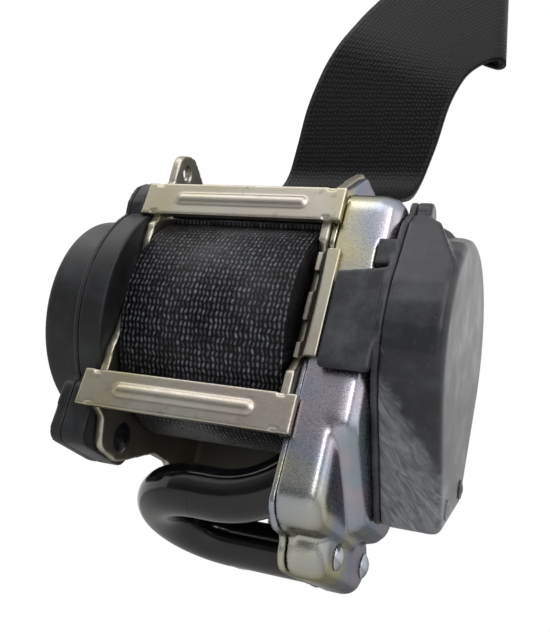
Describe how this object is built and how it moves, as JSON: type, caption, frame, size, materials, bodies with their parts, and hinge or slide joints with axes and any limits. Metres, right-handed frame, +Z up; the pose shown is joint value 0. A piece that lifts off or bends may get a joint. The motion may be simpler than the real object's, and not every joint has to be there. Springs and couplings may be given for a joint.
{
  "type": "seat belt retractor",
  "caption": "Seat belt retractor with a wound webbing spool in a sheet-steel frame, a locking mechanism, a return spring and a bent-tube ball pretensioner.",
  "frame": {"origin": "centre of the mounting bolt hole on the back face of the frame", "axes": "+X along the spool axis towards the pretensioner, +Y towards the mounting face, +Z up along the strap"},
  "size_m": [0.1132, 0.0735, 0.232],
  "materials": {
    "bright_zinc": "satin",
    "yellow_zinc": "satin",
    "steel": "satin",
    "black_plastic": "matt",
    "black_paint": "gloss",
    "webbing": "matt",
    "light_plastic": "satin",
    "grey_plastic": "satin"
  },
  "bodies": {
    "frame_body": {"frame": "bright_zinc", "upper_tie_bar": "yellow_zinc", "lower_tie_bar": "yellow_zinc", "front_clip": "bright_zinc", "pretensioner_plate": "bright_zinc", "pretensioner_housing": "yellow_zinc", "pocket_rivets": "bright_zinc", "pretensioner_tube": "black_paint", "gas_generator": "steel", "drive_piston": "light_plastic", "drive_balls": "steel", "sensor_housing": "black_plastic", "sensor_rivet": "black_plastic", "right_bush": "light_plastic", "left_bush": "light_plastic", "mechanism_base": "black_plastic", "mechanism_cover": "black_plastic", "mechanism_pins": "black_plastic", "spring_base": "black_plastic", "spring_cover": "black_plastic", "spring_pins": "black_plastic", "return_spring": "steel", "belt_strap": "webbing"},
    "spool_body": {"spool": "grey_plastic", "webbing_roll": "webbing", "torsion_bar": "steel", "lock_head": "steel", "spring_arbor": "light_plastic"},
    "pinion_body": {"drive_pinion": "steel"},
    "disc_body": {"steering_disc": "light_plastic"},
    "pawl_body": {"locking_pawl": "steel"},
    "inertia_body": {"inertia_lever": "steel"},
    "ball_body": {"sensor_ball": "steel"},
    "sensor_lever_body": {"sensor_lever": "light_plastic"}
  },
  "joints": [
    {"name": "spool_spin", "type": "hinge", "parent": "frame_body", "child": "spool_body", "pos_m": [0, -0.038, 0.0472], "axis": [1, 0, 0], "continuous": true},
    {"name": "pinion_turn", "type": "hinge", "parent": "frame_body", "child": "pinion_body", "pos_m": [0.037, -0.038, 0.0472], "axis": [1, 0, 0], "continuous": true},
    {"name": "disc_turn", "type": "hinge", "parent": "spool_body", "child": "disc_body", "pos_m": [-0.033, -0.038, 0.0472], "axis": [1, 0, 0], "range_deg": [0, 18]},
    {"name": "pawl_swing", "type": "hinge", "parent": "spool_body", "child": "pawl_body", "pos_m": [-0.026, -0.04684, 0.03836], "axis": [1, 0, 0], "range_deg": [0, 15]},
    {"name": "inertia_swing", "type": "hinge", "parent": "disc_body", "child": "inertia_body", "pos_m": [-0.037, -0.038, 0.0322], "axis": [-1, 0, 0], "range_deg": [0, 8]},
    {"name": "sensor_ball_shift", "type": "slide", "parent": "frame_body", "child": "ball_body", "axis": [0, 1, 0], "range_m": [0, 0.0015]},
    {"name": "sensor_lever_lift", "type": "hinge", "parent": "frame_body", "child": "sensor_lever_body", "pos_m": [-0.032, -0.057, 0.0162], "axis": [1, 0, 0], "range_deg": [0, 8]}
  ],
  "couplings": [
    {"joint": "pawl_swing", "follows": "disc_turn", "ratio": 0.83333},
    {"joint": "sensor_lever_lift", "follows": "sensor_ball_shift", "rad_per_m": 93}
  ]
}
